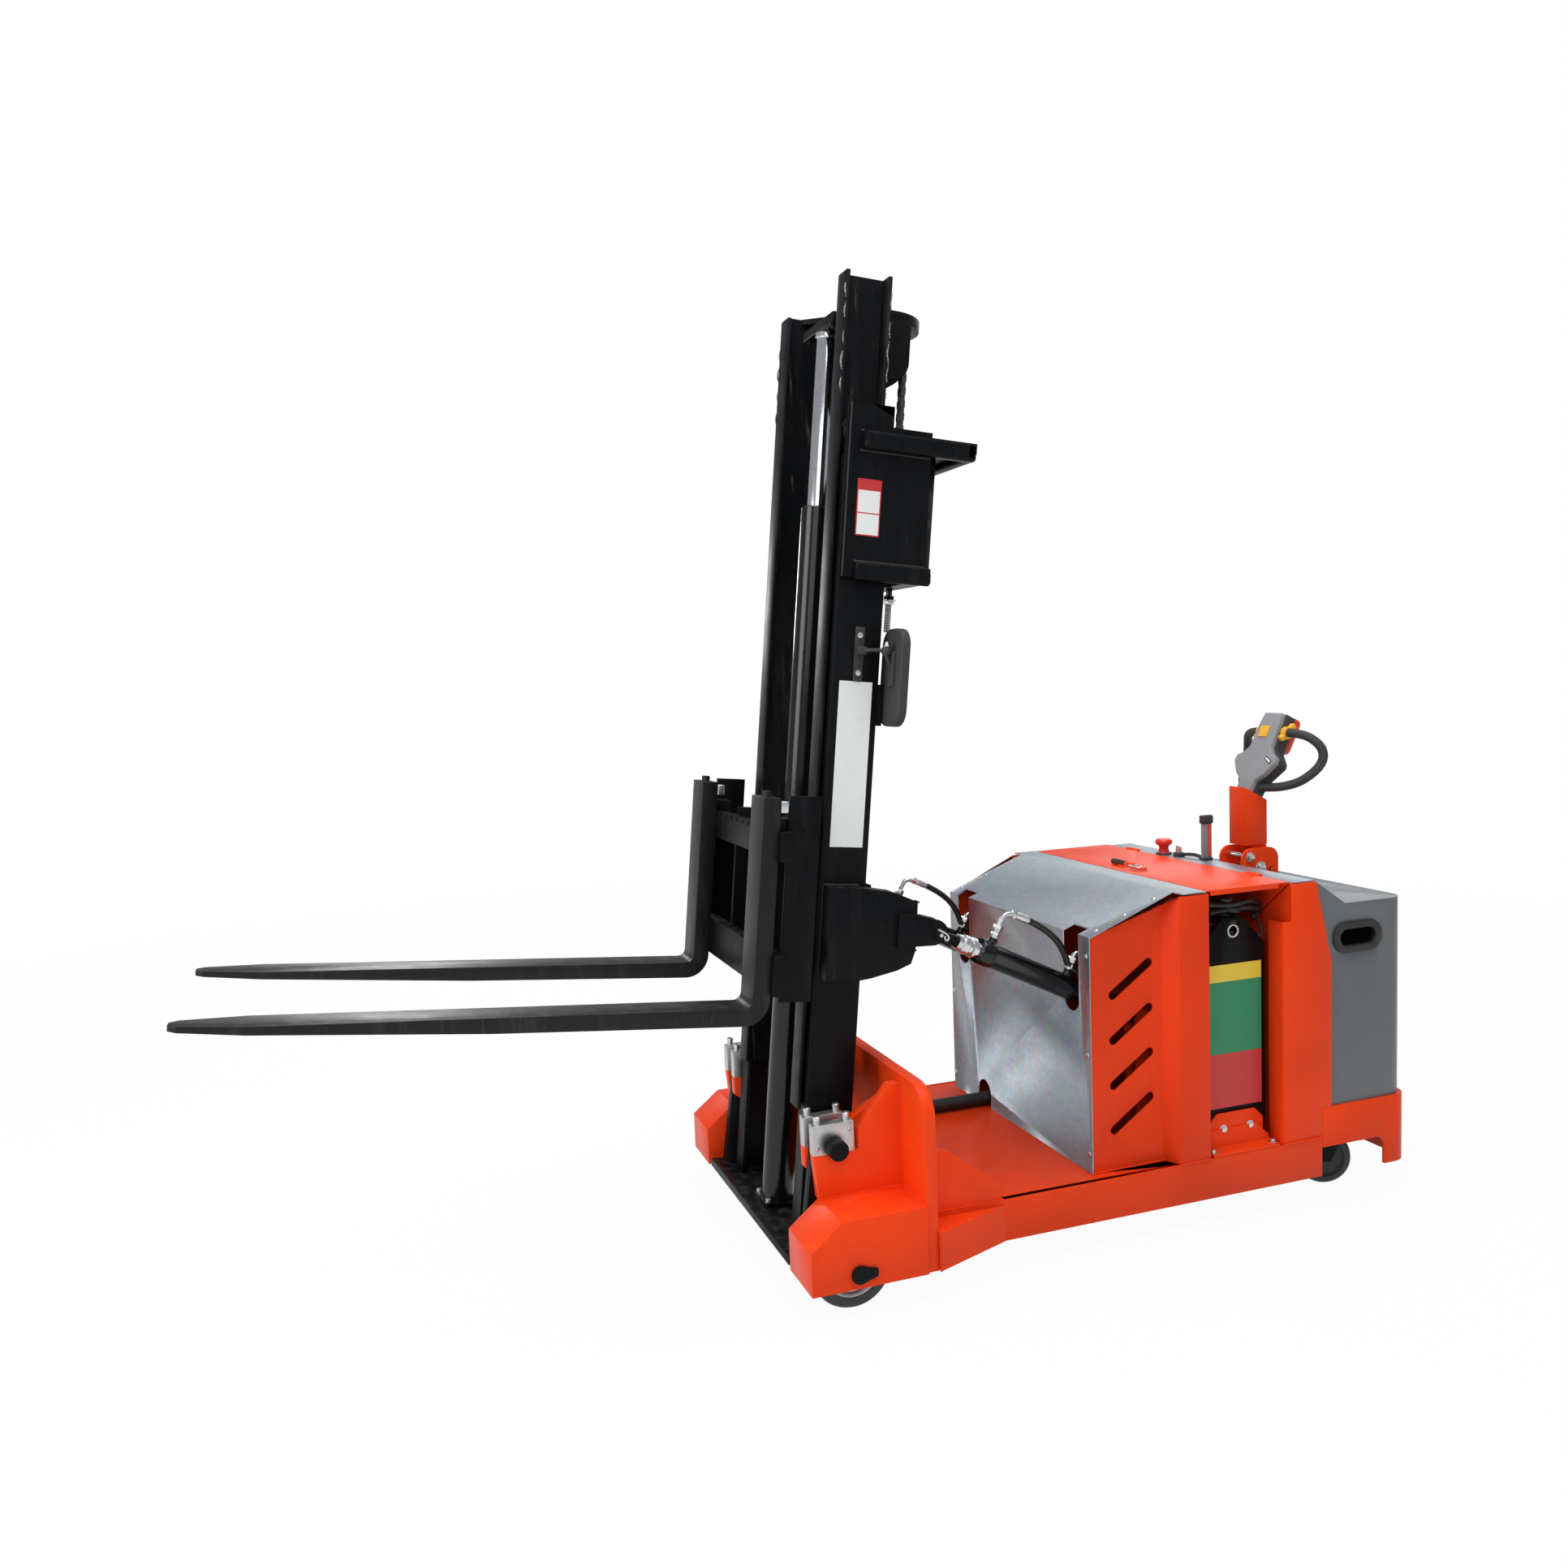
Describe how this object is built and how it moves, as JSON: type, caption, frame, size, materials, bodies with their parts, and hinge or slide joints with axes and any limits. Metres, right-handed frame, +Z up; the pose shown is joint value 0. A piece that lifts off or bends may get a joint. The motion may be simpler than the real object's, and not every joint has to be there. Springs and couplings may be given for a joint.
{
  "type": "counterbalanced pallet stacker",
  "caption": "Walk-behind counterbalanced pallet stacker with a leaning two-stage mast, forks, tilt cylinders, orange chassis, battery bay and folding steering tiller.",
  "frame": {"origin": "on the floor under the centre of the whole machine's plan box", "axes": "X forward to the fork tips, Y to the left, Z up"},
  "size_m": [3.1008, 1.026, 2.4248],
  "materials": {
    "orange_paint": "glossy orange-red powder coat",
    "black_paint": "semi-gloss black paint",
    "galvanised_sheet": "zinc-coated sheet",
    "grey_cover": "grey paint on sheet",
    "bright_steel": "machined steel",
    "chrome": "hard chrome",
    "black_plastic": "black moulded plastic",
    "grey_plastic": "grey moulded plastic",
    "red_plastic": "red moulded plastic",
    "rubber": "black rubber",
    "tread": "polyurethane tread",
    "chain_steel": "oiled leaf chain",
    "cast_block": "cast iron ballast"
  },
  "bodies": {
    "machine": {"chassis_frame": "orange_paint", "mast_pedestals": "orange_paint", "tilt_anchors": "orange_paint", "wheel_boxes": "orange_paint", "bearing_caps": "bright_steel", "front_axles": "black_paint", "hood_front_sheet": "galvanised_sheet", "hood_sides": "orange_paint", "bay_frame": "orange_paint", "battery_pack": "black_plastic", "battery_lifting_plates": "black_paint", "battery_leads": "rubber", "rear_bumper": "orange_paint", "rear_cover": "grey_cover", "cover_grommets": "rubber", "control_console": "galvanised_sheet", "console_controls": "red_plastic", "counterweight": "cast_block", "deck_hose": "rubber"},
    "outer_mast": {"outer_mast_channels": "black_paint", "outer_mast_ties": "black_paint", "mast_foot": "black_paint", "mast_rollers": "bright_steel", "tilt_brackets": "black_paint", "mirrors": "black_plastic", "lift_barrel": "black_paint"},
    "inner_mast": {"inner_mast_channels": "black_paint", "inner_mast_ties": "black_paint", "chain_sheaves": "black_paint", "chain_rear_strands": "chain_steel", "lift_rod": "chrome"},
    "carriage": {"carriage_frame": "black_paint", "forks": "black_paint", "chain_front_strands": "chain_steel"},
    "lid": {"hood_lid": "orange_paint"},
    "steering": {"drive_unit": "black_paint", "tiller_base": "orange_paint"},
    "drive": {"drive_wheel": "tread"},
    "tiller": {"tiller_arm": "orange_paint", "tiller_head": "grey_plastic", "tiller_grips": "black_plastic"},
    "tilt_cylinder_left": {"tilt_barrel_left": "black_paint"},
    "tilt_piston_left": {"tilt_rod_left": "chrome"},
    "wheel_left": {"front_wheel_left": "tread"},
    "caster_left": {"caster_fork_left": "bright_steel"},
    "caster_roll_left": {"caster_wheel_left": "tread"},
    "tilt_cylinder_right": {"tilt_barrel_right": "black_paint"},
    "tilt_piston_right": {"tilt_rod_right": "chrome"},
    "wheel_right": {"front_wheel_right": "tread"},
    "caster_right": {"caster_fork_right": "bright_steel"},
    "caster_roll_right": {"caster_wheel_right": "tread"}
  },
  "joints": [
    {"name": "mast_tilt", "type": "hinge", "parent": "machine", "child": "outer_mast", "pos_m": [0.13494, 0, 0.3546], "axis": [0, 1, 0], "range_deg": [0, 9]},
    {"name": "inner_lift", "type": "slide", "parent": "outer_mast", "child": "inner_mast", "axis": [-0.1018, 0, 0.9948], "range_m": [-0.295, 1.15], "deforming": ["chain_rear_strands"]},
    {"name": "carriage_lift", "type": "slide", "parent": "inner_mast", "child": "carriage", "axis": [-0.1018, 0, 0.9948], "range_m": [-0.295, 1.15], "deforming": ["chain_front_strands"]},
    {"name": "lid_open", "type": "hinge", "parent": "machine", "child": "lid", "pos_m": [-1.14836, 0, 0.879], "axis": [0, -1, 0], "range_deg": [0, 75]},
    {"name": "steer", "type": "hinge", "parent": "machine", "child": "steering", "pos_m": [-1.36036, 0, 0.251], "axis": [0, 0, 1], "range_deg": [-90, 90]},
    {"name": "drive_roll", "type": "hinge", "parent": "steering", "child": "drive", "pos_m": [-1.36036, 0, 0.105], "axis": [0, 1, 0], "continuous": true},
    {"name": "tiller_fold", "type": "hinge", "parent": "steering", "child": "tiller", "pos_m": [-1.40236, 0, 0.841], "axis": [0, -1, 0], "range_deg": [0, 65]},
    {"name": "tilt_pitch_left", "type": "hinge", "parent": "machine", "child": "tilt_cylinder_left", "pos_m": [-0.76036, 0.3, 0.538], "axis": [0, -1, 0], "range_deg": [0, 0.46]},
    {"name": "tilt_slide_left", "type": "slide", "parent": "tilt_cylinder_left", "child": "tilt_piston_left", "axis": [0.8973, 0, 0.4414], "range_m": [0, 0.08868]},
    {"name": "wheel_roll_left", "type": "hinge", "parent": "machine", "child": "wheel_left", "pos_m": [0.13364, 0.4305, 0.1], "axis": [0, 1, 0], "continuous": true},
    {"name": "caster_swivel_left", "type": "hinge", "parent": "machine", "child": "caster_left", "pos_m": [-1.35736, 0.334, 0.15], "axis": [0, 0, 1], "continuous": true},
    {"name": "caster_roll_left", "type": "hinge", "parent": "caster_left", "child": "caster_roll_left", "pos_m": [-1.33743, 0.3247, 0.075], "axis": [0.4226, 0.9063, 0], "continuous": true},
    {"name": "tilt_pitch_right", "type": "hinge", "parent": "machine", "child": "tilt_cylinder_right", "pos_m": [-0.76036, -0.3, 0.538], "axis": [0, -1, 0], "range_deg": [0, 0.46]},
    {"name": "tilt_slide_right", "type": "slide", "parent": "tilt_cylinder_right", "child": "tilt_piston_right", "axis": [0.8973, 0, 0.4414], "range_m": [0, 0.08868]},
    {"name": "wheel_roll_right", "type": "hinge", "parent": "machine", "child": "wheel_right", "pos_m": [0.13364, -0.4305, 0.1], "axis": [0, 1, 0], "continuous": true},
    {"name": "caster_swivel_right", "type": "hinge", "parent": "machine", "child": "caster_right", "pos_m": [-1.35736, -0.334, 0.15], "axis": [0, 0, 1], "continuous": true},
    {"name": "caster_roll_right", "type": "hinge", "parent": "caster_right", "child": "caster_roll_right", "pos_m": [-1.33743, -0.3433, 0.075], "axis": [0.4226, 0.9063, 0], "continuous": true}
  ],
  "couplings": [
    {"joint": "carriage_lift", "follows": "inner_lift", "ratio": 1},
    {"joint": "tilt_pitch_left", "follows": "mast_tilt", "ratio": 0.05},
    {"joint": "tilt_slide_left", "follows": "mast_tilt", "m_per_rad": 0.56329},
    {"joint": "tilt_pitch_right", "follows": "mast_tilt", "ratio": 0.05},
    {"joint": "tilt_slide_right", "follows": "mast_tilt", "m_per_rad": 0.56329}
  ]
}
